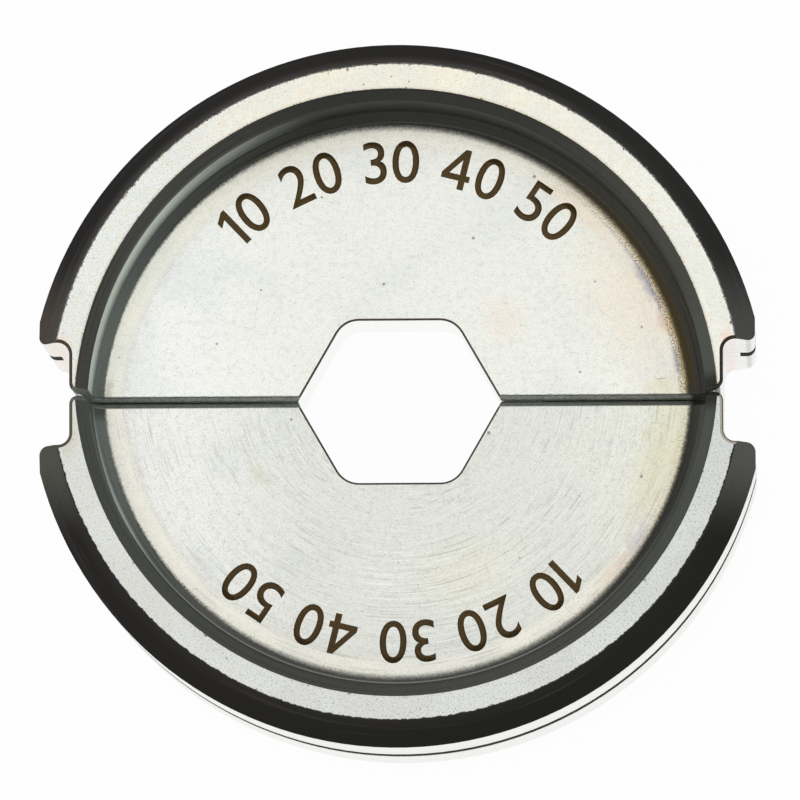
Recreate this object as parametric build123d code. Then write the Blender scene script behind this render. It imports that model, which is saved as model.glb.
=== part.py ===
from build123d import *
import os
from math import cos, radians, tan

# Crimping die: a matched pair of half-round dies, lying closed.
# Millimetres. +Z is the crimping axis, the halves meet on the plane y = 0, and the back rims lie on z = 0.

# Body
seat_radius = 22.0        # outer arc of each half, which seats in the jaw of the press
arc_offset = 1.0          # from the crimping axis to the centre of each seat arc, so that the pair closes to 42
side_flat = 0.7           # how deep the two side flats cut into the seat arcs
thickness = 20.0          # over both rims, along Z
web = 7.0                 # the wall that does the crimping, in the middle of the thickness

# Rim, turned alike on both faces, measured along the radius
outer_bevel = 1.45        # from the seat arc to the flat of the rim
rim_flat = 1.45
inner_bevel = 0.70        # from the flat of the rim to the wall of the recess
bevel_angle = 30.0        # both bevels of the rim, from the crimping axis
recess_foot = 0.65        # bevel between the wall of the recess and the web

# Groove round the middle of the outer arc, for the catch that holds the die in its jaw
groove_width = 2.2
groove_depth = 1.2

# Notch at each end of the parting line, half of it in each die
shoulder_height = 3.0     # from the parting face to the shoulder
notch_land = 0.3          # flat of the rim left between the recess and the notch
shoulder_corner = 0.5
notch_fillet = 0.7
end_corner = 0.6          # where the wall of the notch meets the parting face

# Hexagonal nest, a little wider than a regular hexagon, so that the halves close over a full sleeve
across_flats = 9.75
nest_spread = 0.9         # how much wider it is than a regular hexagon, across the corners
flank_angle = 30.0        # each slanted side, from the closing direction
nest_corner = 1.5

# Broken edges and clearance
edge_break = 0.2          # round the outline of both faces
parting_break = 0.3       # along the parting edges, in the recesses
nest_break = 0.12         # round the nest
parting_gap = 0.08        # between the two halves as they lie

# Worked out from the sizes above
arc_centre = -arc_offset - parting_gap / 2      # of the upper half, from its own parting face
half_height = seat_radius + arc_centre
half_width = seat_radius - side_flat
web_back = (thickness - web) / 2
web_front = (thickness + web) / 2
rim_outer = seat_radius - outer_bevel
rim_inner = rim_outer - rim_flat
wall_radius = rim_inner - inner_bevel
outer_bevel_rise = outer_bevel / tan(radians(bevel_angle))
inner_bevel_rise = inner_bevel / tan(radians(bevel_angle))
notch_wall = rim_inner + notch_land
half_flats = (across_flats - parting_gap) / 2
half_corners = (across_flats / cos(radians(flank_angle)) + nest_spread) / 2
flank_run = tan(radians(flank_angle))

TOUCH = 1e-6              # two numbers this close are one place


def corners(face, **place):
    """The corners of a flat shape at the given X or Y, or X counted either way as side."""
    found = face.vertices()
    if "x" in place:
        found = [v for v in found if abs(v.X - place["x"]) < TOUCH]
    if "side" in place:
        found = [v for v in found if abs(abs(v.X) - place["side"]) < TOUCH]
    if "y" in place:
        found = [v for v in found if abs(v.Y - place["y"]) < TOUCH]
    return found


def turned_disc():
    """The turned form, about the centre of the seat arc: bevelled rims, two recesses and the catch groove."""
    groove_radius = seat_radius - groove_depth
    groove_low = (thickness - groove_width) / 2
    groove_high = (thickness + groove_width) / 2
    section = make_face(Polyline(
        (0, web_back),
        (wall_radius, web_back),
        (wall_radius, inner_bevel_rise),
        (rim_inner, 0),
        (rim_outer, 0),
        (seat_radius, outer_bevel_rise),
        (seat_radius, groove_low),
        (groove_radius, groove_low),
        (groove_radius, groove_high),
        (seat_radius, groove_high),
        (seat_radius, thickness - outer_bevel_rise),
        (rim_outer, thickness),
        (rim_inner, thickness),
        (wall_radius, thickness - inner_bevel_rise),
        (wall_radius, web_front),
        (0, web_front),
        close=True,
    ))
    feet = corners(section, x=wall_radius, y=web_back) + corners(section, x=wall_radius, y=web_front)
    section = chamfer(feet, recess_foot)
    disc = revolve(Plane.XZ * section, Axis.Z, 360)
    return Pos(0, arc_centre, 0) * disc


def outline():
    """One half from the front: seat arc, side flats, shoulders, notches and parting face."""
    seat = Pos(0, arc_centre) * Circle(seat_radius)
    face = seat & Pos(0, half_height / 2) * Rectangle(2 * half_width, half_height)
    notch_depth = half_width - notch_wall
    for side in (-1, 1):
        middle = Pos(side * (notch_wall + notch_depth / 2), shoulder_height / 2)
        face -= middle * Rectangle(notch_depth, shoulder_height)
    face = fillet(corners(face, y=0), end_corner)
    face = fillet(corners(face, side=notch_wall, y=shoulder_height), notch_fillet)
    return fillet(corners(face, side=half_width, y=shoulder_height), shoulder_corner)


def blank():
    """The outline carried through the thickness, with the edges of both faces broken."""
    solid = extrude(outline(), thickness)
    return chamfer(solid.faces().filter_by(Axis.Z).edges(), edge_break)


def nest():
    """The cutter for one half of the hexagon, which flares at both faces of the web to break its edges."""
    spread = half_corners + half_flats * flank_run
    crest = half_corners - half_flats * flank_run
    face = make_face(Polyline(
        (-spread, -half_flats),
        (spread, -half_flats),
        (crest, half_flats),
        (-crest, half_flats),
        close=True,
    ))
    face = fillet(corners(face, y=half_flats), nest_corner)
    cutter = extrude(face, thickness)
    flared = offset(face, nest_break)
    cutter += Pos(0, 0, web_back) * extrude(flared, nest_break, taper=45)
    cutter += Pos(0, 0, web_front) * extrude(flared, -nest_break, taper=45)
    return cutter


def parting_edges(solid):
    """The edges of the parting face that lie in the recesses: floors, feet, walls and inner bevels."""
    found = []
    for edge in solid.edges():
        middle = edge.center()
        outside_web = middle.Z < web_back + TOUCH or middle.Z > web_front - TOUCH
        if abs(middle.Y) < TOUCH and outside_web:
            found.append(edge)
    return found


def half_die():
    """One half, with its parting face on y = 0 and its back on +Y."""
    solid = (turned_disc() & blank()) - nest()
    return chamfer(parting_edges(solid), parting_break)


def main():
    """Both halves are the same die, the lower one turned half round to face the upper."""
    half = Pos(0, parting_gap / 2, 0) * half_die()
    os.makedirs("parts", exist_ok=True)
    export_step(half, "parts/upper_die.step")
    export_step(Rot(0, 0, 180) * half, "parts/lower_die.step")


main()
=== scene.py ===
# %% [markdown]
# # A crimping die
# The real piece is a matched pair of steel dies for a hydraulic crimping tool. Each half is turned and
# milled from one block, then zinc plated and clear passivated. Both solids come ready from the packed
# CAD model, and keep their shape and place. This lesson gives them their finish and their numbers, and
# then lays them on a white board under three soft lamps.

# %% Load the pair of dies
from math import cos, pi, radians, sin

import bmesh
import bpy
from mathutils import Matrix, Vector


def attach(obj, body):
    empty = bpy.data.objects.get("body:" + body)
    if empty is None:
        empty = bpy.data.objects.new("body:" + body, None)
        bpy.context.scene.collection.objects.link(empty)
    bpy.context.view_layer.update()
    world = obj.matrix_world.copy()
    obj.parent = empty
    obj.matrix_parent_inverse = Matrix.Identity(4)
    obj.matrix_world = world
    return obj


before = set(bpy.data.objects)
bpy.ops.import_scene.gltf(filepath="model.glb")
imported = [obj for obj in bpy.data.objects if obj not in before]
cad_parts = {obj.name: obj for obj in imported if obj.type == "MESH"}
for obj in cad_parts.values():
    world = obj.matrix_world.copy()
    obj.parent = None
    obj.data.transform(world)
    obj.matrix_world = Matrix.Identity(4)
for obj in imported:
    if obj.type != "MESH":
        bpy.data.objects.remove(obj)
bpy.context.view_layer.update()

MM = 0.001


# %% [markdown]
# ## The camera
# The die is seen nearly square on, from a little below and to the right, with a very long lens, so the
# deep recess shows its far wall only as a thin band. The camera's place was worked out from how the
# rim, the web and the back of the notches shift against each other. A long lens is only a small field
# of view, so the picture stays almost flat.

# %% Place the camera
camera_place = Vector((23.80, -63.84, 707.76)) * MM
camera_aim = Vector((0.254, -0.510, 20.0)) * MM
camera_roll = radians(-0.162)

ahead = (camera_aim - camera_place).normalized()
level_right = ahead.cross(Vector((0, 1, 0))).normalized()
level_up = level_right.cross(ahead)
right = level_right * cos(camera_roll) + level_up * sin(camera_roll)
up = level_up * cos(camera_roll) - level_right * sin(camera_roll)

lens = bpy.data.cameras.new("long_lens")
lens.lens = 524.6
lens.sensor_width = 36.0
lens.clip_start = 0.01
camera = bpy.data.objects.new("camera", lens)
camera.matrix_world = Matrix.Translation(camera_place) @ Matrix((right, up, -ahead)).transposed().to_4x4()
bpy.context.scene.collection.objects.link(camera)
bpy.context.scene.camera = camera
bpy.context.scene.view_settings.view_transform = "Standard"
print("camera is", round((camera_aim - camera_place).length, 3), "m from the rim")

# %% [markdown]
# ## Helpers for materials
# A finish in Blender is a small circuit of nodes. A few helpers keep the lesson short. The bench lays
# nodes in a tree and wires them, and sets any plain number or colour on the socket itself. Of the
# others, one starts a node group, which is an effect with named inputs and outputs that several
# finishes can share, one starts a finish, and one turns a paint chip into Blender's linear colour.

# %% A bench for wiring nodes
class Bench:
    """Lays nodes in one tree. A wire is linked, and anything else is set on the socket."""

    def __init__(self, tree):
        self.tree = tree

    def node(self, kind, wires=(), **settings):
        made = self.tree.nodes.new(kind)
        for name, value in settings.items():
            setattr(made, name, value)
        for socket, value in wires.items() if isinstance(wires, dict) else enumerate(wires):
            self.join(value, made.inputs[socket])
        return made

    def join(self, value, socket):
        if isinstance(value, bpy.types.NodeSocket):
            self.tree.links.new(value, socket)
        else:
            socket.default_value = value

    def math(self, operation, *values):
        return self.node("ShaderNodeMath", values, operation=operation).outputs[0]

    def times(self, *values):
        product = values[0]
        for value in values[1:]:
            product = self.math("MULTIPLY", product, value)
        return product

    def diagonal(self, one, other):
        """How far a point is from the origin, from its two distances along the axes."""
        return self.math("SQRT", self.math("ADD", self.times(one, one), self.times(other, other)))

    def outside(self, mask):
        """1 where the mask is 0, and 0 where it is 1."""
        return self.math("SUBTRACT", 1.0, mask)

    def above(self, value, low, high):
        """0 below low, 1 above high, and the other way round where low is the larger."""
        wires = {"Value": value, "From Min": low, "From Max": high}
        return self.node("ShaderNodeMapRange", wires, interpolation_type="SMOOTHSTEP").outputs[0]

    def within(self, value, low, high, soft):
        """1 between low and high, fading over soft outside them."""
        return self.times(self.above(value, low - soft, low), self.above(value, high + soft, high))

    def blend(self, amount, low, high):
        """A value that goes from low to high as amount goes from 0 to 1."""
        return self.math("MULTIPLY_ADD", amount, high - low, low)

    def mix(self, amount, one, other):
        """A colour that goes from one to the other as amount goes from 0 to 1."""
        made = self.node("ShaderNodeMix", data_type="RGBA", blend_type="MIX")
        for socket, value in ((0, amount), (6, one), (7, other)):
            self.join(value, made.inputs[socket])
        return made.outputs[2]

    def noise(self, place, scale, detail=2.0, roughness=0.5, distortion=0.0):
        wires = {"Vector": place, "Scale": scale, "Detail": detail, "Roughness": roughness,
                 "Distortion": distortion}
        return self.node("ShaderNodeTexNoise", wires).outputs[0]

    def effect(self, group, wires):
        return self.node("ShaderNodeGroup", wires, node_tree=group).outputs

    def where(self):
        """The place on the object in millimetres, and the way that the surface faces."""
        found = self.node("ShaderNodeTexCoord").outputs
        wires = {0: found["Object"], "Scale": 1 / MM}
        return self.node("ShaderNodeVectorMath", wires, operation="SCALE").outputs[0], found["Normal"]


# %% New effects, new finishes and paint chips
def new_effect(name, takes, gives):
    """An empty node group, the bench to fill it, its incoming wires and its outgoing sockets."""
    group = bpy.data.node_groups.new(name, "ShaderNodeTree")
    for label, kind in takes.items():
        group.interface.new_socket(label, in_out="INPUT", socket_type="NodeSocket" + kind)
    for label in gives:
        group.interface.new_socket(label, in_out="OUTPUT", socket_type="NodeSocketFloat")
    bench = Bench(group)
    return group, bench, bench.node("NodeGroupInput").outputs, bench.node("NodeGroupOutput").inputs


def new_finish(name):
    """An empty finish, the bench to fill it, and its shader."""
    finish = bpy.data.materials.new(name)
    finish.use_nodes = True
    return finish, Bench(finish.node_tree), finish.node_tree.nodes["Principled BSDF"]


def chip(red, green, blue):
    """A paint chip written as 0 to 255, turned into the linear colour that Blender works in."""
    linear = [((v / 255 + 0.055) / 1.055) ** 2.4 if v > 10 else v / 255 / 12.92 for v in (red, green, blue)]
    return (*linear, 1.0)

# %% [markdown]
# ## Where on the die
# A turned part has a different finish on each of its surfaces: the lathe faces the rim and the web, a
# form tool cuts the bevels, and a grinding pencil breaks the edges. Each surface here also takes its own
# painted light and shade. All of them are told apart by two things, the distance from the turning
# centre and the way the surface faces. This group works in millimetres, and measures depth from the
# middle of the thickness, so that both faces come out alike. The painted shade of the foot of the
# recess and the painted highlight on it are each measured about a point a little off the turning
# centre, so each has a shift of its own that is added before its radius is measured.

# %% The measures of the die, in millimetres
HALF_THICKNESS = 10.0
WEB_DEPTH = 3.5           # from the middle of the thickness to the face of the web
SEAT_RADIUS = 22.0
GROOVE_FLOOR = 20.8       # radius at the bottom of the catch groove
GROOVE_HALF_WIDTH = 1.1
RIM_OUTER = 20.55         # radius where the outer bevel meets the flat of the rim
RIM_INNER = 19.10         # radius where the flat meets the inner bevel
WALL = 18.40              # radius of the wall of the recess
FOOT_MIDDLE = 18.1
FOOT_EDGE = 17.75         # radius where the foot of the recess meets the web
NEST_REACH = 9.0          # the nest and its edges lie well inside this radius
BREAK_HEIGHT = 0.34       # from the parting plane to the top of a broken parting edge

# %% Open the group and measure the place
zones, bench, given, out = new_effect(
    "zones_of_a_half",
    {"Place": "Vector", "Facing": "Vector", "Centre": "Float", "Foot Shift": "Vector",
     "Highlight Shift": "Vector"},
    ["Radius", "Angle", "Feed", "Across", "From Parting", "Depth", "Foot Radius", "Highlight Radius",
     "Rim", "Web", "Side", "Outer Bevel", "Inner Bevel", "Lip", "Wall", "Foot", "Edge Break",
     "Parting Break", "Nest", "Nest Edge", "Groove"],
)
x, y, z = bench.node("ShaderNodeSeparateXYZ", [given["Place"]]).outputs
face_y, face_z = bench.node("ShaderNodeSeparateXYZ", [given["Facing"]]).outputs[1:]
rise = bench.math("SUBTRACT", y, given["Centre"])
radius = bench.diagonal(x, rise)
depth = bench.math("ABSOLUTE", bench.math("SUBTRACT", z, HALF_THICKNESS))
from_parting = bench.math("ABSOLUTE", y)

from_centre = bench.node("ShaderNodeCombineXYZ", [x, rise, 0.0]).outputs[0]
shifted_radii = []
for shift in ("Foot Shift", "Highlight Shift"):
    shifted = bench.node("ShaderNodeVectorMath", [from_centre, given[shift]], operation="ADD").outputs[0]
    shifted_radii.append(bench.node("ShaderNodeVectorMath", [shifted], operation="LENGTH").outputs["Value"])
foot_radius, highlight_radius = shifted_radii
print("depth is counted from", HALF_THICKNESS, "mm above the back rims")

# %% Sort the surfaces by their slope
# The slope is 1 on a flat, 0.71 on the foot and the broken edges, 0.5 on the bevels and 0 on a wall.
slope = bench.math("ABSOLUTE", face_z)
flat = bench.above(slope, 0.93, 0.97)
chamfer = bench.within(slope, 0.64, 0.80, 0.03)
bevel = bench.within(slope, 0.44, 0.58, 0.03)
steep = bench.above(slope, 0.30, 0.20)

off_wall = bench.math("ADD", slope, bench.above(radius, FOOT_EDGE - 0.75, FOOT_EDGE - 0.25))
at_parting = bench.times(
    bench.above(from_parting, BREAK_HEIGHT + 0.03, BREAK_HEIGHT + 0.005),
    bench.within(bench.math("ABSOLUTE", face_y), 0.35, 0.93, 0.03),
    bench.above(radius, RIM_INNER + 0.2, RIM_INNER + 0.1),
    bench.above(off_wall, 0.4, 0.6))
elsewhere = bench.outside(at_parting)
inner_bevel = bench.times(bevel, bench.above(radius, RIM_INNER + 0.5, RIM_INNER + 0.3), elsewhere)

# %% Find the foot of the recess
# The foot's painted shade reaches onto the web and fades into it softly at the top and bottom, less at the
# sides.
ragged = bench.math("MULTIPLY_ADD", bench.noise(given["Place"], 9.0, 3.0, 0.8), 0.40, foot_radius)
crisp = bench.math("MAXIMUM", bench.above(x, -6.0, -15.0), bench.times(bench.above(x, 9.0, 15.0), 0.6))
reach = bench.blend(crisp, 0.26, 0.12)
foot_fade = bench.above(
    ragged, bench.math("SUBTRACT", FOOT_EDGE - 0.01, reach), bench.math("ADD", FOOT_EDGE - 0.01, reach))
foot = bench.times(
    foot_fade, bench.above(radius, WALL + 0.06, WALL + 0.02),
    bench.above(depth, WEB_DEPTH + 0.9, WEB_DEPTH + 0.7),
    bench.above(depth, WEB_DEPTH - 0.2, WEB_DEPTH - 0.05),
    bench.above(slope, 0.4, 0.6), elsewhere)
off_foot = bench.math("ABSOLUTE", bench.math("SUBTRACT", radius, FOOT_MIDDLE))

# %% Put out the measures and the zones
for label, wire in {
    "Radius": radius,
    "Angle": bench.math("ARCTAN2", rise, x),
    "Feed": bench.math("ADD", radius, z),
    "Across": x,
    "From Parting": from_parting,
    "Depth": depth,
    "Foot Radius": foot_radius,
    "Highlight Radius": highlight_radius,
    "Rim": bench.times(flat, bench.above(depth, HALF_THICKNESS - 1.0, HALF_THICKNESS - 0.5)),
    "Web": bench.times(flat, bench.above(depth, WEB_DEPTH + 1.5, WEB_DEPTH + 1.0)),
    "Side": bench.times(steep, bench.above(radius, WALL + 0.3, WALL + 0.5)),
    "Outer Bevel": bench.times(bevel, bench.above(radius, RIM_OUTER - 0.55, RIM_OUTER - 0.35)),
    "Inner Bevel": inner_bevel,
    "Lip": bench.times(inner_bevel, bench.above(radius, WALL + 0.13, WALL + 0.07)),
    "Wall": bench.times(steep, bench.within(radius, WALL - 0.08, WALL + 0.08, 0.03),
                        bench.above(depth, WEB_DEPTH - 0.1, WEB_DEPTH), elsewhere),
    "Foot": foot,
    "Edge Break": bench.times(chamfer, bench.outside(foot), bench.above(off_foot, 0.45, 0.5), elsewhere),
    "Parting Break": at_parting,
    "Nest": bench.times(steep, bench.above(radius, NEST_REACH, NEST_REACH - 0.5)),
    "Nest Edge": bench.times(chamfer, bench.above(radius, NEST_REACH, NEST_REACH - 0.5), elsewhere),
    "Groove": bench.times(bench.above(depth, GROOVE_HALF_WIDTH + 0.1, GROOVE_HALF_WIDTH + 0.05),
                          bench.within(radius, GROOVE_FLOOR - 0.02, SEAT_RADIUS - 0.03, 0.01)),
}.items():
    bench.join(wire, out[label])
print("zones:", [socket.name for socket in out if socket.name])

# %% [markdown]
# ## Grain
# Zinc plate is not smooth like chrome: it grows as a fine crystal skin over the tool marks, which looks
# like pale felt under a lens. Two sizes of noise give the skin and its patches, a third the frost where
# the crystals stand coarser, and a very wide one the clouds. Small pits are the dark centres of a few
# cells of a Voronoi pattern, picked out by the random colour that each cell has.

# %% The crystal skin and its pits
grain, bench, given, out = new_effect(
    "zinc_grain", {"Place": "Vector"}, ["Skin", "Patches", "Frost", "Clouds", "Pits"])
place = given["Place"]
cells = bench.node("ShaderNodeTexVoronoi", {"Vector": place, "Scale": 1.1}).outputs
chance, lot = bench.node("ShaderNodeSeparateColor", [cells["Color"]]).outputs[:2]
pit_size = bench.math("MULTIPLY", lot, 0.10)
for label, wire in {
    "Skin": bench.noise(place, 12.0, 2.0, 0.8),
    "Patches": bench.noise(place, 2.6, 3.0, 0.65),
    "Frost": bench.noise(place, 9.0, 2.0, 0.7, 0.4),
    "Clouds": bench.noise(place, 0.22, 2.0, 0.5, 0.6),
    "Pits": bench.times(bench.above(chance, 0.80, 0.84),
                        bench.above(bench.math("SUBTRACT", cells["Distance"], pit_size), 0.05, 0.0)),
}.items():
    bench.join(wire, out[label])
print("grain:", [socket.name for socket in out if socket.name])

# %% [markdown]
# ## Turning lines
# A lathe leaves rings about the turning centre, on the web as on the seat arc. Plating buries most of
# them, so only short arcs show. The trick is a noise that is read in polar form: it changes fast along
# the feed of the tool and slowly round the angle, and each arc ends where the noise does. Radius and
# height added together serve as the feed, since one of the two stays the same on every turned surface.
# Fineness sets how close the rings lie, and Length how far an arc runs, in radians.

# %% Rings left by the lathe
turning, bench, given, out = new_effect(
    "turning_lines", {"Feed": "Float", "Angle": "Float", "Fineness": "Float", "Length": "Float"},
    ["Lines", "Glints", "Ripple"])
polar = bench.node("ShaderNodeCombineXYZ", [
    bench.times(given["Feed"], given["Fineness"]),
    bench.math("DIVIDE", given["Angle"], given["Length"]),
    3.7,                  # which slice of the noise is read
]).outputs[0]
ripple = bench.noise(polar, 1.0, 1.0, 0.5)
bench.join(bench.above(ripple, 0.56, 0.74), out["Lines"])
bench.join(bench.above(ripple, 0.42, 0.26), out["Glints"])
bench.join(ripple, out["Ripple"])

# %% [markdown]
# ## Scratches
# Dies lie loose in a case with others, and pick up short straight scratches. A noise that is stretched
# a lot one way gives streaks, and only its highest parts are kept. The group turns the pattern, so each
# use of it can run its own way.

# %% Short straight scratches
scratching, bench, given, out = new_effect(
    "scratches", {"Place": "Vector", "Turn": "Float", "Rarity": "Float"}, ["Scratches"])
turned = bench.node("ShaderNodeVectorRotate", {"Vector": given["Place"], "Angle": given["Turn"]},
                    rotation_type="Z_AXIS").outputs[0]
stretched = bench.node("ShaderNodeVectorMath", [turned, (0.28, 9.0, 1.0)], operation="MULTIPLY").outputs[0]
streak = bench.noise(stretched, 1.0, 1.0, 0.4)
over = bench.math("SUBTRACT", streak, given["Rarity"])
bench.join(bench.above(over, 0.0, 0.05), out["Scratches"])

# %% [markdown]
# ## Stains
# The passivating bath leaves tints where it drains last: cream, pink and violet, mostly along the foot
# of the recess. Each stain is a patch in polar form with a ragged outline, so that it follows the rim.

# %% One ragged patch
staining, bench, given, out = new_effect(
    "stain",
    {"Place": "Vector", "Radius": "Float", "Angle": "Float", "At Radius": "Float", "At Angle": "Float",
     "Reach": "Float", "Spread": "Float", "Ragged": "Float"},
    ["Patch"])
outward = bench.math("DIVIDE", bench.math("SUBTRACT", given["Radius"], given["At Radius"]), given["Reach"])
swing = bench.math("WRAP", bench.math("SUBTRACT", given["Angle"], given["At Angle"]), pi, -pi)
along = bench.math("DIVIDE", swing, given["Spread"])
distance = bench.diagonal(outward, along)
wander = bench.noise(given["Place"], 1.4, 6.0, 0.78)
roughened = bench.math("MULTIPLY_ADD", wander, given["Ragged"], distance)
centred = bench.math("MULTIPLY_ADD", given["Ragged"], -0.5, roughened)
bench.join(bench.above(centred, 1.1, 0.2), out["Patch"])
print("effects:", [group.name for group in bpy.data.node_groups])

# %% [markdown]
# ## Zinc plate
# The finish is built up in layers, and each layer is a tone laid over the colour so far through a mask.
# The plate on the flats is a metal, so its colour is the tint of what it reflects, and it is pale and
# satin. The bevels come from a form tool, and the breaks and the foot from a pencil grinder: there the
# colour is a painted dark reflection, nearly black, so it is no metal to Blender but a dark skin with
# little gloss. Each surface is named with three tones, for the left, the middle and the right of the
# die, which paint the light and shade that fall unevenly across it. They are fixed to the die and not
# to the view, so they stay put when it is seen from another side.

# %% The tones of the two halves
# Apart from the web and the rim, these tones are painted light: a dark reflection on the bevels, the
# breaks and the foot, and highlights on the left of the wall and lip, on the foot and on the parting
# breaks. The three tones of each surface paint the light that falls unevenly across the die.
upper_tones = {               # left, middle, right
    "Web": (chip(244, 245, 242), chip(237, 238, 231), chip(241, 241, 232)),
    "Rim": (chip(232, 235, 231), chip(243, 238, 221), chip(238, 239, 230)),
    "Outer Bevel": (chip(36, 34, 33), chip(38, 36, 34), chip(46, 46, 44)),
    "Bevel End": (chip(82, 76, 70), chip(60, 60, 58), chip(92, 93, 89)),
    "Inner Bevel": (chip(98, 98, 93), chip(71, 71, 68), chip(92, 92, 86)),
    "Bevel Tip": (chip(98, 98, 93), chip(71, 71, 68), chip(100, 103, 97)),
    "Lip": (chip(118, 122, 116), chip(86, 86, 81), chip(82, 83, 78)),
    "Wall": (chip(216, 228, 221), chip(62, 62, 58), chip(70, 71, 67)),
    "Foot": (chip(142, 148, 142), chip(72, 73, 69), chip(82, 80, 74)),
    "Foot Shade On Web": (chip(138, 144, 138), chip(72, 73, 69), chip(98, 87, 62)),
    "Foot Highlight": (chip(128, 132, 126), chip(96, 95, 89), chip(92, 86, 70)),
    "Edge Break": (chip(86, 77, 67), chip(58, 62, 58), chip(70, 64, 56)),
    "Parting Break": (chip(178, 184, 176), chip(176, 182, 173), chip(170, 174, 163)),
}
lower_tones = {
    "Web": (chip(243, 244, 239), chip(225, 226, 219), chip(234, 235, 224)),
    "Rim": (chip(216, 216, 212), chip(214, 215, 213), chip(211, 214, 212)),
    "Outer Bevel": (chip(40, 38, 37), chip(39, 38, 37), chip(42, 42, 40)),
    "Bevel End": (chip(90, 90, 84), chip(70, 70, 66), chip(106, 107, 101)),
    "Inner Bevel": (chip(103, 106, 101), chip(100, 101, 96), chip(98, 101, 96)),
    "Bevel Tip": (chip(103, 106, 101), chip(100, 101, 96), chip(100, 103, 98)),
    "Lip": (chip(104, 107, 102), chip(96, 98, 93), chip(94, 97, 92)),
    "Wall": (chip(110, 114, 110), chip(96, 98, 93), chip(94, 97, 92)),
    "Foot": (chip(146, 154, 148), chip(116, 117, 111), chip(84, 84, 79)),
    "Foot Shade On Web": (chip(142, 150, 144), chip(112, 113, 107), chip(84, 84, 79)),
    "Foot Highlight": (chip(232, 242, 238), chip(186, 187, 181), chip(104, 105, 100)),
    "Edge Break": (chip(106, 102, 94), chip(58, 62, 58), chip(84, 76, 66)),
    "Parting Break": (chip(152, 158, 150), chip(146, 152, 144), chip(136, 142, 132)),
}
SEAT = chip(241, 241, 236)      # seat arcs, side flats and shoulders
NEST = chip(250, 250, 248)
EDGE = chip(58, 62, 58)         # dark edges: ragged bites and burrs, and painted dark reflection and shade on broken edges
GROOVE_SHADE = chip(96, 95, 90)         # painted shade in the catch groove
print(len(upper_tones) + len(lower_tones), "surfaces with three tones each")

# %% What differs between the halves
LOOKS = {                     # (upper half, lower half)
    "centre": (-1.0, 1.0),              # the turning centre, along Y
    # the foot's painted shade, with the cream and gold along it, is measured about this shifted point
    "foot_shift": ((0.25, 0.06, 0.0), (0.14, 0.0, 0.0)),
    "highlight_shift": ((0.0, 0.0, 0.0), (0.20, -0.49, 0.0)),
    "highlight_radius": (17.82, 18.38),      # the painted highlight, a light line on the foot of the recess
    "highlight_ramp": ((0.09, 0.07), (0.09, 0.24)),          # how softly it comes up, and how softly on the left
    "rim_edge": (20.57, 20.47),         # where the flat of the rim goes dark
    "rings": (0.07, 0.30),              # how strongly the rings show all over the web
    "arcs": (0.0, 0.50),                # and in one broad patch low on the web
    "frost": ((0.35, 0.12, 0.10), (0.38, 0.58, 0.24)),  # on the left and right of the rim, and on the web
    "cream": (0.30, 0.60),              # cream crystals on the left, along the foot
    "golden": (1.0, 0.3),               # golden tint on the right, along the foot
    "warmth": (0.6, 0.1),               # warm patches and a warm inner edge on the rim
    "burr": (0.65, 0.1),                # how ragged the edges are
    "bevel_wear_and_sheen": (0.6, 0.1),           # plate worn off the inner part of the outer bevel, with painted sheen
    "bevel_glint": (0.6, 0.0),          # a painted highlight between the outer bevel and the rim
    "crease": (EDGE, chip(196, 200, 194)),              # painted shade on the upper half and painted highlight on the lower, along the top of the broken parting edges
    "edge_highlight": (0.0, 0.9),            # a painted highlight on the right of the edge break
    "wall_shine": (1.0, 0.0),           # a painted highlight, bright metal on the left of the wall
}
upper_look, lower_look = ({name: pair[half] for name, pair in LOOKS.items()} for half in (0, 1))
print(len(LOOKS), "settings differ between the halves")

# %% A finish that is laid on in layers
class Plating:
    """The finish of one half: what the groups say of a point, and the colour laid so far."""

    def __init__(self, name, look, tones):
        self.finish, self.bench, self.shader = new_finish(name)
        self.look, self.tones, self.colour = look, tones, SEAT
        bench = self.bench
        self.place, facing = bench.where()
        self.zone = bench.effect(zones, {
            "Place": self.place, "Facing": facing, "Centre": look["centre"],
            "Foot Shift": look["foot_shift"], "Highlight Shift": look["highlight_shift"]})
        self.skin = bench.effect(grain, {"Place": self.place})
        self.rings = self.turned(fineness=13.0, length=0.17)
        self.bands = self.turned(fineness=5.0, length=0.6)
        self.leftness = bench.above(self.zone["Across"], -4.0, -16.0)
        self.rightness = bench.above(self.zone["Across"], 6.0, 17.0)
        wander = bench.math("MULTIPLY_ADD", self.skin["Patches"], 0.24, -0.12)
        nibbles = bench.math("MULTIPLY_ADD", self.skin["Frost"], 0.56 * look["burr"], -0.28 * look["burr"])
        self.ragged_radius = bench.math("ADD", bench.math("ADD", self.zone["Radius"], wander), nibbles)
        self.ragged_height = bench.math("ADD", self.zone["From Parting"], bench.times(wander, 0.7))

    def turned(self, fineness, length):
        """Rings about the turning centre."""
        return self.bench.effect(turning, {
            "Feed": self.zone["Feed"], "Angle": self.zone["Angle"], "Fineness": fineness, "Length": length})

    def patch(self, radius, angle, reach, spread, ragged):
        """One ragged patch, in millimetres and degrees about the turning centre."""
        return self.bench.effect(staining, {
            "Place": self.place, "Radius": self.zone["Radius"], "Angle": self.zone["Angle"],
            "At Radius": radius, "At Angle": radians(angle), "Reach": reach, "Spread": radians(spread),
            "Ragged": ragged})["Patch"]

    def toned(self, label, leftward=None):
        """The tone of a surface, from its left to its right."""
        left, middle, right = self.tones[label]
        leftward = self.leftness if leftward is None else leftward
        return self.bench.mix(self.rightness, self.bench.mix(leftward, middle, left), right)

    def lay(self, tone, *masks):
        """Lay a tone over the colour so far, where all the masks meet."""
        self.colour = self.bench.mix(self.bench.times(*masks), self.colour, tone)

# %% [markdown]
# ## Clean plate
# The first layers are the plate as it left the bath. It is cream near the foot of the recess, with a
# faint tan line where the cream begins, and it has wide dim clouds. Noise gathers near a half, so a
# mask that starts just below that covers most of a surface, and one that starts well above it leaves
# only specks.

# %% Plate, cream and clouds
TAN = chip(230, 222, 203)
CREAM = chip(246, 243, 229)
WEB_CLOUD = chip(214, 218, 219)
RIM_CLOUD = chip(224, 228, 223)


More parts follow.
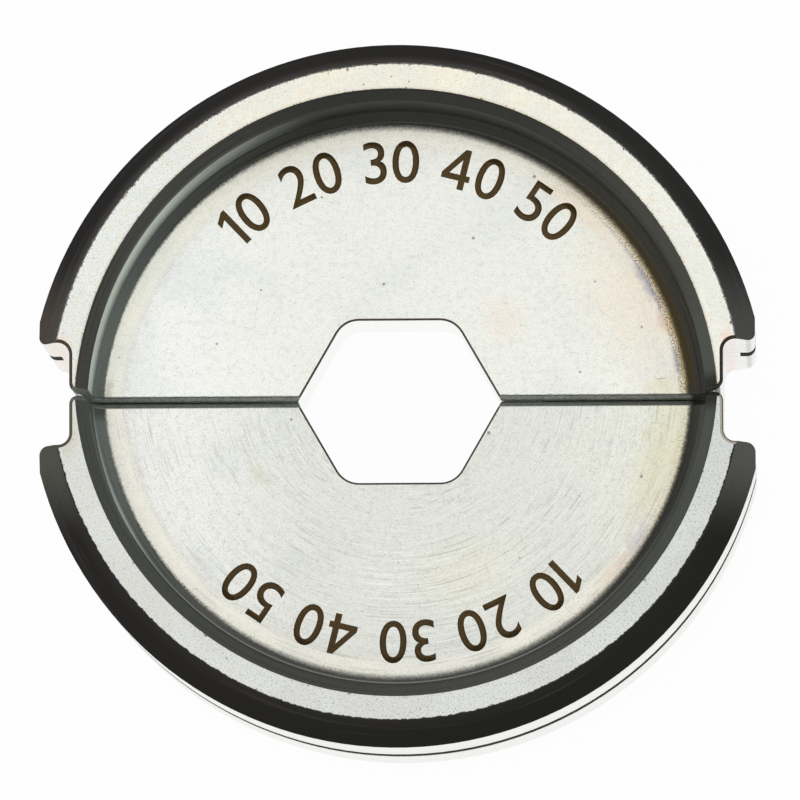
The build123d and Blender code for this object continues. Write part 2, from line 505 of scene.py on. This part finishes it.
def clean_plate(die):
    """The plate as it left the bath."""
    bench, zone, skin = die.bench, die.zone, die.skin
    die.lay(die.toned("Rim"), zone["Rim"])
    die.lay(die.toned("Web"), zone["Web"])
    by_foot = bench.math("MULTIPLY_ADD", skin["Patches"], 0.5, zone["Foot Radius"])
    die.creamy = bench.times(bench.above(by_foot, 16.60, 17.1), zone["Web"])
    die.lay(TAN, bench.within(by_foot, 16.60, 16.72, 0.24), zone["Web"],
            bench.blend(die.leftness, 0.22, 0.42), bench.above(skin["Skin"], 0.34, 0.56))
    die.lay(CREAM, die.creamy, 0.9)
    die.lay(WEB_CLOUD, bench.above(skin["Clouds"], 0.46, 0.68), zone["Web"], 0.26)
    die.lay(RIM_CLOUD, bench.above(skin["Clouds"], 0.46, 0.58), zone["Rim"], 0.40)


# %% Crystals and frost
PATCH_SHADE = chip(190, 194, 188)
SKIN_SHADE = chip(186, 189, 182)
SKIN_GLINT = chip(250, 250, 247)
FROST = chip(158, 162, 160)


def crystal_skin(die):
    """Light and dark crystals, and frost on the rim and beside the cream."""
    bench, zone, skin = die.bench, die.zone, die.skin
    die.lay(PATCH_SHADE, bench.above(skin["Patches"], 0.44, 0.74), 0.28)
    die.lay(SKIN_SHADE, bench.above(skin["Skin"], 0.46, 0.70), 0.42)
    die.lay(SKIN_GLINT, bench.above(skin["Skin"], 0.42, 0.26), 0.35)
    on_left, on_right, on_web = die.look["frost"]
    on_rim = bench.times(bench.blend(die.leftness, on_right, on_left), zone["Rim"])
    off_cream = bench.times(zone["Web"], on_web, bench.blend(die.creamy, 1.0, 0.3))
    die.lay(FROST, bench.above(skin["Frost"], 0.44, 0.70), bench.math("ADD", on_rim, off_cream))

# %% [markdown]
# ## Tool marks and wear
# The rings of the lathe show through the plate on the web, stronger under the clouds, and on the lower
# half in one broad patch as well. The sides have coarser bands. Over them come scratches and pits.

# %% Rings and arcs on the web
RING_SHADE = chip(158, 155, 140)
RING_GLINT = chip(246, 246, 241)


def lathe_rings(die):
    """Fine rings all over the web, and longer arcs in one patch of it."""
    bench, zone, shown = die.bench, die.zone, die.look["rings"]
    cloudy = bench.above(die.skin["Clouds"], 0.36, 0.58)
    ringed = bench.times(bench.math("MULTIPLY_ADD", cloudy, shown, 0.3 * shown), zone["Web"])
    die.lay(RING_SHADE, die.rings["Lines"], ringed)
    die.lay(RING_GLINT, die.rings["Glints"], ringed)
    patch = die.patch(radius=12.0, angle=-80, reach=5.0, spread=46, ragged=1.0)
    arcs = die.turned(fineness=11.0, length=0.36)
    die.lay(RING_SHADE, arcs["Lines"], patch, zone["Web"], die.look["arcs"])
    die.lay(RING_GLINT, arcs["Glints"], patch, zone["Web"], die.look["arcs"])


# %% Cream crystals, bands, scratches and pits
CREAM_GLINT = chip(254, 252, 240)
BAND_SHADE = chip(160, 160, 152)
BAND_GLINT = chip(248, 248, 245)
SCRATCH = chip(150, 150, 140)
PIT = chip(104, 98, 86)


def marks_of_use(die):
    """Bright crystals in the cream, bands round the sides, scratches and pits."""
    bench, zone, skin = die.bench, die.zone, die.skin
    die.lay(CREAM_GLINT, die.creamy, bench.blend(die.leftness, 0.0, die.look["cream"]),
            bench.above(skin["Skin"], 0.70, 0.38))
    die.lay(BAND_SHADE, die.bands["Lines"], zone["Side"], 0.45)
    die.lay(BAND_GLINT, die.bands["Glints"], zone["Side"], 0.7)
    wires = {"Place": die.place, "Turn": radians(8), "Rarity": 0.76}
    die.lay(SCRATCH, bench.effect(scratching, wires)["Scratches"], 0.30)
    die.lay(PIT, skin["Pits"], 0.70)

# %% [markdown]
# ## Rim and web edges
# The flat of the rim has dark ragged edges, where the plate breaks off, and small bites out of them.
# On the right of the web the passivation has turned golden along the foot, in a band with bright
# crystals and brown specks. The masks are the radius with some noise added, so no edge is a clean circle.

# %% The rim and its two edges
RIM_WARMTH = chip(238, 226, 202)
FLECK = chip(128, 122, 110)
RIM_BLUSH = chip(190, 172, 154)
RIM_DARK = chip(46, 44, 42)


def rim_edges(die):
    """Warm patches and flecks on the rim, bites out of it, and its two dark edges."""
    bench, zone, skin, look = die.bench, die.zone, die.skin, die.look
    die.lay(RIM_WARMTH, zone["Rim"], bench.above(skin["Patches"], 0.48, 0.68), look["warmth"])
    die.lay(FLECK, bench.above(skin["Frost"], 0.63, 0.71),
            bench.math("MULTIPLY_ADD", zone["Rim"], 0.55, bench.times(zone["Web"], 0.30)))
    ragged, edge = die.ragged_radius, look["rim_edge"]
    die.lay(RIM_BLUSH, zone["Rim"], bench.above(ragged, RIM_INNER + 0.16, RIM_INNER - 0.04), look["warmth"])
    bitten = bench.times(zone["Rim"], bench.above(skin["Patches"], 0.60, 0.68), 0.75)
    die.lay(EDGE, bitten, bench.above(zone["Radius"], RIM_INNER + 0.14, RIM_INNER + 0.04))
    die.lay(EDGE, bitten, bench.above(zone["Radius"], RIM_OUTER - 0.17, RIM_OUTER - 0.09))
    die.lay(RIM_DARK, zone["Rim"], bench.above(ragged, edge - 0.05, edge + 0.02))
    die.lay(EDGE, zone["Rim"], bench.above(ragged, RIM_INNER - 0.01, RIM_INNER - 0.05), 0.8)


# %% Gold along the foot, and the web's parting edge
GOLD = chip(226, 200, 140)
GOLD_GLINT = chip(252, 238, 186)
GOLD_SHADE = chip(96, 80, 50)


def web_edges(die):
    """The golden band along the foot, a dark edge at the parting line, and the plain nest."""
    bench, zone, skin = die.bench, die.zone, die.skin
    golden = bench.times(zone["Web"], die.rightness, die.look["golden"])
    from_middle = zone["Foot Radius"]
    die.lay(GOLD, bench.within(from_middle, 17.42, 17.60, 0.10), golden, 0.7)
    die.lay(GOLD_GLINT, bench.within(from_middle, 17.30, 17.56, 0.12), golden,
            bench.above(skin["Skin"], 0.44, 0.36), 0.8)
    die.lay(GOLD_SHADE, bench.within(from_middle, 17.20, 17.64, 0.20), golden,
            bench.above(skin["Skin"], 0.47, 0.56), 0.85)
    near_break = bench.above(die.ragged_height, BREAK_HEIGHT + 0.08, BREAK_HEIGHT + 0.01)
    die.lay(EDGE, zone["Web"], near_break, die.look["burr"])
    die.lay(NEST, zone["Nest"])

# %% [markdown]
# ## Cut surfaces
# The wall, the bevels and the foot each take their own tone, a painted dark reflection with a painted
# highlight on the left of the wall. Near the parting line the bevels are lighter. The foot carries a
# painted highlight, a light line: on the upper half the foot goes on beyond it, and on the lower half
# the tone of the inner bevel shows again there.

# %% Wall, bevels and foot
TIP_SHADE = chip(50, 50, 46)
FOOT_TIP_SHADE = chip(84, 88, 82)
BEVEL_WEAR_AND_SHEEN = chip(92, 90, 86)
BEVEL_BANDS = chip(96, 94, 90)
BEVEL_GLINT = chip(200, 200, 192)


def cut_surfaces(die):
    """The painted tones of the wall, the bevels and the foot, with painted shade near the tips, and wear
    and painted sheen on the outer bevel.
    """
    bench, zone, look = die.bench, die.zone, die.look
    height = zone["From Parting"]
    # painted dark reflection on these surfaces, and a painted highlight on the left of the wall
    for label in ("Wall", "Outer Bevel", "Inner Bevel", "Lip", "Parting Break"):
        die.lay(die.toned(label), zone[label])
    die.foot_leftness = bench.times(die.leftness, bench.blend(bench.above(height, 12.0, 2.5), 0.35, 1.0))
    # the painted shade of the foot goes on onto the web, with tones of its own there
    on_flat = bench.above(zone["Radius"], FOOT_EDGE + 0.05, FOOT_EDGE + 0.01)
    round_foot, web_foot_shade = (die.toned(label, die.foot_leftness) for label in ("Foot", "Foot Shade On Web"))
    die.lay(bench.mix(on_flat, round_foot, web_foot_shade), zone["Foot"])
    # the painted reflection on the bevels grows lighter towards the parting line
    die.lay(die.toned("Bevel End"), zone["Outer Bevel"], bench.above(height, 8.8, 3.6))
    die.lay(die.toned("Bevel Tip"), zone["Inner Bevel"], bench.above(height, 7.0, 3.0))
    # painted shade near the parting tips of the inner bevel and the foot
    near_tip = bench.above(height, 1.4, 0.5)
    die.lay(TIP_SHADE, zone["Inner Bevel"], near_tip, die.rightness, 0.8)
    die.lay(FOOT_TIP_SHADE, zone["Foot"], near_tip, 0.7)
    # plate worn off the inner part of the outer bevel, with painted sheen there
    die.lay(BEVEL_WEAR_AND_SHEEN, zone["Outer Bevel"], bench.above(zone["Radius"], 21.25, 20.6),
            look["bevel_wear_and_sheen"], bench.blend(die.rightness, 1.0, 0.3))
    die.lay(BEVEL_BANDS, zone["Outer Bevel"], die.bands["Glints"], 0.25)
    # painted highlight along the edge of the outer bevel by the rim
    by_rim = bench.above(die.ragged_radius, RIM_OUTER + 0.08, RIM_OUTER + 0.04)
    die.lay(BEVEL_GLINT, zone["Outer Bevel"], by_rim, look["bevel_glint"])


# %% The painted highlight on the foot
def foot_highlight(die):
    """The painted highlight, a light line which comes up softly on its inner side, and what lies beyond it.
    """
    bench, zone, look = die.bench, die.zone, die.look
    radius, line = zone["Highlight Radius"], look["highlight_radius"]
    sidelong = bench.times(die.leftness, bench.above(zone["From Parting"], 11.0, 6.5))
    line_start = bench.math("SUBTRACT", line, bench.blend(sidelong, *look["highlight_ramp"]))
    # painted highlight along the foot
    die.lay(die.toned("Foot Highlight", sidelong), bench.above(radius, line_start, line),
            bench.above(radius, line + 0.05, line + 0.01), zone["Foot"])
    # beyond the painted highlight: the foot's tone, or the inner bevel's painted dark reflection
    beyond = bench.mix(look["wall_shine"], die.toned("Inner Bevel"), die.toned("Foot", die.foot_leftness))
    die.lay(beyond, bench.above(radius, line + 0.01, line + 0.05), zone["Foot"])

# %% [markdown]
# ## Broken edges
# The edges that face the parting line are broken by hand. Each is a pale painted reflection, with a
# painted line along its top, dark on the upper half and light on the lower, and painted shade along the
# gap between the halves, and it fades into shadow towards its outer tip. The outline of both faces has a
# narrow break with a painted dark reflection.

# %% Breaks, nest and groove
BAND_DARK = chip(20, 20, 19)
TIP_LEFT, TIP_RIGHT = chip(134, 138, 132), chip(44, 46, 43)
EDGE_HIGHLIGHT = chip(230, 222, 208)
NEST_EDGE = chip(104, 92, 86)


def broken_edges(die):
    """The painted light and shade on the broken parting edges, on the breaks round both faces and the nest,
    and in the groove.
    """
    bench, zone, look, height = die.bench, die.zone, die.look, die.ragged_height
    in_recess = bench.math("ADD", zone["Foot"], bench.math("ADD", zone["Wall"], zone["Inner Bevel"]))
    die.lay(BAND_DARK, in_recess, die.bands["Lines"], 0.35)
    die.lay(EDGE, zone["Parting Break"], bench.above(die.skin["Frost"], 0.40, 0.66), 0.45)
    # painted line along the top of the parting break: shade on the upper half, highlight on the lower
    die.lay(look["crease"], zone["Parting Break"], bench.above(height, 0.26, 0.33), 0.75)
    # painted shade along the gap between the halves
    die.lay(EDGE, zone["Parting Break"], bench.above(height, 0.17, 0.06), 0.6)
    # painted light on the left and painted shade on the right, at the break's outer tip
    past_tip = bench.math("SUBTRACT", zone["Radius"], bench.blend(die.rightness, 18.1, 17.3))
    die.lay(bench.mix(die.rightness, TIP_LEFT, TIP_RIGHT), zone["Parting Break"],
            bench.above(past_tip, 0.0, 0.4), 0.9)
    # painted dark reflection on the edge breaks, with a painted highlight on their right
    lit_edge = bench.times(die.rightness, bench.above(zone["Depth"], 9.84, 9.89), look["edge_highlight"])
    die.lay(bench.mix(lit_edge, die.toned("Edge Break"), EDGE_HIGHLIGHT), zone["Edge Break"])
    # painted dark reflection on the nest's edge break
    die.lay(NEST_EDGE, zone["Nest Edge"])
    # painted shade in the groove
    die.lay(GROOVE_SHADE, zone["Groove"])

# %% [markdown]
# ## Gloss and relief
# A dark surface shows its grain only if the grain is strong, so where the colour is a painted dark
# reflection and painted shade it is scaled by the skin. The same mask takes the metal away from those
# surfaces. The crystals and the rings also stand up a little, by less than a hundredth of a millimetre,
# and a bump gives that without any faces.

# %% The surfaces painted dark and their grain
DARK_PAINTED = ("Outer Bevel", "Inner Bevel", "Lip", "Foot", "Edge Break", "Parting Break", "Groove")


def dull_grain(die):
    """The mask of everything painted as a dark reflection and shade, and the stronger grain there."""
    bench, zone = die.bench, die.zone
    dull = zone[DARK_PAINTED[0]]
    for label in DARK_PAINTED[1:]:
        dull = bench.math("MAXIMUM", dull, zone[label])
    # painted highlight: on the left the wall stays bright metal
    shiny = bench.times(die.leftness, die.look["wall_shine"])
    die.dull = bench.math("MAXIMUM", dull, bench.times(zone["Wall"], bench.outside(shiny)))
    wires = {0: die.colour, "Scale": bench.blend(die.skin["Skin"], 0.36, 1.12)}
    die.lay(bench.node("ShaderNodeVectorMath", wires, operation="SCALE").outputs[0], die.dull)


# %% Metal, roughness and bump
def gloss_and_relief(die):
    """Join the finished colour to the shader, and give it metal, roughness and bump."""
    bench, zone, skin, shader = die.bench, die.zone, die.skin, die.shader.inputs
    bench.join(die.colour, shader["Base Color"])
    # no metal where the dark reflection and shade are painted
    bench.join(bench.blend(die.dull, 1.0, 0.0), shader["Metallic"])
    shader["IOR"].default_value = 1.06
    upright = bench.math("MAXIMUM", zone["Side"], zone["Nest"])
    satin = bench.blend(skin["Skin"], 0.32, 0.44)
    bench.join(bench.math("SUBTRACT", satin, bench.times(upright, 0.16)), shader["Roughness"])
    web_relief = bench.times(die.rings["Ripple"], zone["Web"], 0.4)
    side_relief = bench.times(die.bands["Ripple"], zone["Side"])
    height = bench.math(
        "MULTIPLY_ADD", skin["Skin"], 0.5, bench.math("MULTIPLY_ADD", side_relief, 0.8, web_relief))
    bump = bench.node("ShaderNodeBump", {"Strength": 0.15, "Distance": 0.00002, "Height": height})
    bench.join(bump.outputs[0], shader["Normal"])

# %% [markdown]
# ## The two halves
# Each half gets its own stains. A stain is a tint, its strength, the radius and angle of its middle
# about the turning centre, how far it goes outward in millimetres and round in degrees, and how ragged
# it is. Angles are counted from the right, with the parting line near 0 and 180.

# %% The stains
upper_stains = [
    (chip(242, 229, 208), 0.60, 15.6, 27, 3.4, 22, 1.2),      # warm blush on the right
    (chip(241, 226, 208), 0.45, 8.6, 43, 1.6, 12, 1.2),
    (chip(240, 225, 203), 0.60, 16.6, 50, 1.0, 14, 1.2),
    (chip(170, 163, 180), 0.72, 16.95, 28, 0.50, 9, 2.4),     # violet streak along the foot
    (chip(232, 196, 164), 0.55, 17.0, 19.2, 0.7, 3.4, 2.0),
    (chip(164, 166, 176), 0.75, 17.1, 11.6, 0.55, 4.0, 1.4),
    (chip(230, 222, 190), 0.60, 15.9, 6.4, 1.9, 3.4, 0.9),
    (chip(150, 148, 124), 0.55, 17.55, 174.5, 0.4, 2.4, 2.4),     # olive corner on the left
    (chip(70, 72, 66), 0.85, 17.22, 167.5, 0.07, 0.24, 0.2),
    (chip(70, 62, 54), 0.80, 19.42, 95.5, 0.08, 0.24, 0.2),   # pits in the rim
    (chip(78, 68, 58), 0.75, 19.80, 90.6, 0.07, 0.22, 0.2),
    (chip(60, 58, 54), 0.80, 20.45, 97.9, 0.18, 0.35, 0.6),
    (chip(150, 146, 136), 0.65, 15.8, 8.3, 0.5, 0.2, 0.1),    # short scratch
    (chip(244, 214, 200), 0.80, 20.1, 11.5, 0.55, 2.4, 0.8),  # pink shoulders
    (chip(238, 218, 200), 0.75, 20.6, 168.6, 1.1, 2.4, 0.8),
    (chip(110, 104, 96), 0.60, 21.3, 11.0, 0.22, 0.5, 1.6),
]
lower_stains = [
    (chip(227, 221, 186), 0.65, 16.4, -16, 2.0, 22, 1.4),
    (chip(196, 190, 200), 0.60, 17.0, -33.6, 0.8, 7, 1.8),
    (chip(235, 211, 188), 0.55, 17.0, -41, 0.6, 8, 1.6),
    (chip(231, 228, 208), 0.45, 12.0, -70, 2.6, 20, 1.6),
    (chip(205, 202, 178), 0.45, 10.0, 212, 0.8, 5.0, 2.2),    # olive scuff
    (chip(204, 197, 176), 0.60, 19.9, 189.5, 1.0, 6.0, 1.4),  # warm end of the rim
]
print(len(upper_stains), "stains on the upper half and", len(lower_stains), "on the lower")

# %% Plate both halves
def zinc_plate(name, look, tones, stains):
    """The whole finish of one half, layer by layer."""
    die = Plating(name, look, tones)
    clean_plate(die)
    for tint, strength, *where in stains:
        die.lay(tint, die.patch(*where), strength)
    for layer in (crystal_skin, lathe_rings, marks_of_use, rim_edges, web_edges, cut_surfaces, foot_highlight,
                  broken_edges, dull_grain, gloss_and_relief):
        layer(die)
    return die.finish


for node, plate in {
    "upper_die": zinc_plate("zinc_plate_upper", upper_look, upper_tones, upper_stains),
    "lower_die": zinc_plate("zinc_plate_lower", lower_look, lower_tones, lower_stains),
}.items():
    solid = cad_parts[node]
    solid.data.materials.clear()
    solid.data.materials.append(plate)
    print(node, "is plated,", len(plate.node_tree.nodes), "nodes")

# %% [markdown]
# ## Numbers on the web
# The front of each web carries a row of plain numbers along the recess, burnt dark brown by a laser.
# They are flat, so each digit is a sheet of the font's outline, six thousandths of a millimetre proud
# of the web. Digits are set one by one along the arc, which keeps them upright and undistorted. The
# built-in font draws its 1 as a bare stroke, and its 4 closes up when the strokes are made bolder, so
# those two are drawn as loops and filled.

# %% The measures of the row, in millimetres
ROW = "10 20 30 40 50"
ROW_RADIUS = 13.2         # the digits stand on this radius, about the crimping axis
ROW_START, ROW_END = radians(135.5), radians(45.0)
CAP_HEIGHT = 2.46
DIGIT_GAP = 0.33          # between the digits of one number
GAP_RADIUS = ROW_RADIUS + 0.35 * CAP_HEIGHT     # gaps are measured a third of the way up the digits
WEB_FRONT = 13.5          # height of the front of the web above the back rim
SUNK, PROUD = -0.010, 0.006     # underside and top of a digit, from the web
FONT_CAP = 0.682          # height of the built-in font's digits at size 1
FONT_SCALE = CAP_HEIGHT / FONT_CAP
BOLDER = 0.005            # how far the font's outlines are moved outward
BY_HAND = {
    "1": [[(0.194, 0), (0.302, 0), (0.302, 0.682), (0.236, 0.682), (0.070, 0.578), (0.070, 0.466),
           (0.194, 0.546)]],
    "4": [[(0.306, 0), (0.414, 0), (0.414, 0.146), (0.482, 0.146), (0.482, 0.250), (0.414, 0.250),
           (0.414, 0.682), (0.318, 0.682), (0.006, 0.240), (0.006, 0.146), (0.306, 0.146)],
          [(0.306, 0.250), (0.130, 0.250), (0.306, 0.500)]],
}


# %% One digit
def drawn_digit(loops):
    """A flat bmesh of a digit that is given as loops of corners."""
    drawn = bmesh.new()
    for loop in loops:
        corners = [drawn.verts.new((x, y, 0)) for x, y in loop]
        for one, other in zip(corners, corners[1:] + corners[:1]):
            drawn.edges.new((one, other))
    bmesh.ops.triangle_fill(drawn, use_beauty=True, edges=drawn.edges, normal=(0, 0, 1))
    return drawn


def font_digit(digit):
    """A flat bmesh of a digit of the built-in font, at the font's own size."""
    letter = bpy.data.curves.new("digit", "FONT")
    letter.body = digit
    letter.resolution_u = 6
    letter.offset = BOLDER
    holder = bpy.data.objects.new("digit", letter)
    bpy.context.scene.collection.objects.link(holder)
    bpy.context.view_layer.update()
    flat = bpy.data.meshes.new_from_object(holder.evaluated_get(bpy.context.evaluated_depsgraph_get()))
    drawn = bmesh.new()
    drawn.from_mesh(flat)
    bpy.data.objects.remove(holder)
    bmesh.ops.remove_doubles(drawn, verts=drawn.verts, dist=1e-4)
    return drawn


# %% A flat row of digits on an arc
def stand(drawn, width, turn):
    """Move a digit to its place on the arc, upright at the angle turn."""
    low = min(v.co.x for v in drawn.verts)
    for v in drawn.verts:
        across, upright = (v.co.x - low) * FONT_SCALE - width / 2, v.co.y * FONT_SCALE + ROW_RADIUS
        v.co = (across * sin(turn) + upright * cos(turn), -across * cos(turn) + upright * sin(turn), 0)


def flat_row():
    """The whole row as one flat bmesh, and the gap that is left between its numbers."""
    words = ROW.split()
    digits = [drawn_digit(BY_HAND[d]) if d in BY_HAND else font_digit(d) for word in words for d in word]
    widths = [(max(v.co.x for v in d.verts) - min(v.co.x for v in d.verts)) * FONT_SCALE for d in digits]
    in_words = sum(widths) + DIGIT_GAP * sum(len(word) - 1 for word in words)
    word_gap = ((ROW_START - ROW_END) * GAP_RADIUS - in_words) / (len(words) - 1)
    row, travelled, waiting = bmesh.new(), 0.0, zip(digits, widths)
    for word in words:
        for _ in word:
            drawn, width = next(waiting)
            stand(drawn, width, ROW_START - (travelled + width / 2) / GAP_RADIUS)
            part = bpy.data.meshes.new("part")
            drawn.to_mesh(part)
            row.from_mesh(part)
            bpy.data.meshes.remove(part)
            travelled += width + DIGIT_GAP
        travelled += word_gap - DIGIT_GAP
    return row, word_gap


# %% The row as a sheet on the web
def settled_faces(row):
    """The corners and shading of each face, in a fixed order, which bmesh doesn't keep from run to run."""
    row.verts.index_update()
    settled = []
    for face in row.faces:
        corners = [v.index for v in face.verts]
        first = corners.index(min(corners))
        settled.append((corners[first:] + corners[:first], face.smooth))
    return zip(*sorted(settled))


def number_row(name, half_turn):
    """The whole row as one object, with its underside just inside the web."""
    row, word_gap = flat_row()
    for v in row.verts:
        v.co.z = WEB_FRONT + SUNK
    for part in bmesh.ops.extrude_face_region(row, geom=list(row.faces))["geom"]:
        if isinstance(part, bmesh.types.BMVert):
            part.co.z = WEB_FRONT + PROUD
    bmesh.ops.recalc_face_normals(row, faces=row.faces)
    bmesh.ops.transform(row, matrix=Matrix.Rotation(half_turn, 4, "Z"), verts=row.verts)
    bmesh.ops.scale(row, vec=(MM, MM, MM), verts=row.verts)
    mesh = bpy.data.meshes.new(name)
    faces, smooth = settled_faces(row)
    mesh.from_pydata([v.co for v in row.verts], [], faces)
    mesh.polygons.foreach_set("use_smooth", smooth)
    print(name, "gap between numbers", round(word_gap, 2), "mm,", len(mesh.polygons), "faces")
    return bpy.data.objects.new(name, mesh)


# %% The burnt finish and the two rows
burnt, bench, shader = new_finish("laser_burn")
place, _ = bench.where()
skin = bench.effect(grain, {"Place": place})
burn = bench.mix(bench.above(skin["Skin"], 0.3, 0.8), chip(78, 61, 35), chip(106, 89, 58))
bench.join(burn, shader.inputs["Base Color"])
bench.join(bench.blend(skin["Patches"], 0.5, 0.7), shader.inputs["Roughness"])
shader.inputs["IOR"].default_value = 1.2

for name, half_turn in (("numbers_upper", 0.0), ("numbers_lower", pi)):
    numbers = number_row(name, half_turn)
    bpy.context.scene.collection.objects.link(numbers)
    numbers.data.materials.append(burnt)
    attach(numbers, "root")

# %% [markdown]
# ## Floor and light
# The die lies on a white board. Most of the board's white comes from its own glow, as seen by the
# camera and in reflections, and the rest is paint that still takes the die's shadow. A wide soft lamp
# hangs overhead, and two smaller ones stand at the left and at the back. The surround is a grey that
# grows lighter towards one corner, as in a room with a window, and keeps the sides readable.

# %% The white board
BOARD_WIDTH = 8.0         # metres, so that it fills every view
UNDER_RIMS = 0.00002      # how far it lies below the back rims, so that the two don't flicker
GLOW_SHARE = 0.97

bpy.ops.mesh.primitive_grid_add(
    x_subdivisions=8, y_subdivisions=8, size=BOARD_WIDTH, location=(0, 0, -UNDER_RIMS))
floor = bpy.context.object
floor.name = "white_board"
board = bpy.data.materials.new("white_board")
board.use_nodes = True
bench = Bench(board.node_tree)
nodes = board.node_tree.nodes
nodes.remove(nodes["Principled BSDF"])
rays = bench.node("ShaderNodeLightPath").outputs
seen = bench.math("MAXIMUM", rays["Is Camera Ray"], rays["Is Glossy Ray"])
seen = bench.math("MAXIMUM", seen, rays["Is Transmission Ray"])
paint = bench.node("ShaderNodeBsdfDiffuse", {"Color": (0.85, 0.85, 0.85, 1.0)}).outputs[0]
glow = bench.node("ShaderNodeEmission", {"Color": (1.0, 1.0, 1.0, 1.0), "Strength": 1.0}).outputs[0]
mixed = bench.node("ShaderNodeMixShader", [bench.times(seen, GLOW_SHARE), paint, glow]).outputs[0]
bench.join(mixed, nodes["Material Output"].inputs["Surface"])
floor.data.materials.append(board)
print("board is", BOARD_WIDTH, "m wide")

# %% The lamps
def soft_lamp(name, width, power, place, aim=(0.0, 0.0, 0.01)):
    """A square soft box that the camera can't see."""
    data = bpy.data.lights.new(name, "AREA")
    data.shape = "SQUARE"
    data.size = width
    data.energy = power
    lamp = bpy.data.objects.new(name, data)
    lamp.location = place
    lamp.rotation_euler = (Vector(aim) - Vector(place)).to_track_quat("-Z", "Y").to_euler()
    lamp.visible_camera = False
    bpy.context.scene.collection.objects.link(lamp)
    print(name, "glows at", round(power / (4 * width ** 2), 2))


soft_lamp("overhead_lamp", 1.6, 3.9, (0.0, 0.0, 1.5))
soft_lamp("left_lamp", 0.9, 1.6, (-1.3, -0.7, 0.75))
soft_lamp("back_lamp", 0.7, 1.0, (0.8, 1.4, 0.7))

# %% The surround
SHADY_CORNER = (0.50, 0.50, 0.51, 1.0)
LIGHT_CORNER = (0.92, 0.92, 0.90, 1.0)

world = bpy.data.worlds.new("grey_surround")
world.use_nodes = True
bench = Bench(world.node_tree)
direction = bench.node("ShaderNodeTexCoord").outputs["Generated"]
east, north = bench.node("ShaderNodeSeparateXYZ", [direction]).outputs[:2]
toward_light = bench.math("MULTIPLY_ADD", east, -0.7, bench.times(north, -0.5))
surround = bench.mix(bench.above(toward_light, -0.8, 0.8), SHADY_CORNER, LIGHT_CORNER)
background = world.node_tree.nodes["Background"].inputs
bench.join(surround, background["Color"])
background["Strength"].default_value = 1.0
bpy.context.scene.world = world
print("surround from", SHADY_CORNER[:3], "to", LIGHT_CORNER[:3])
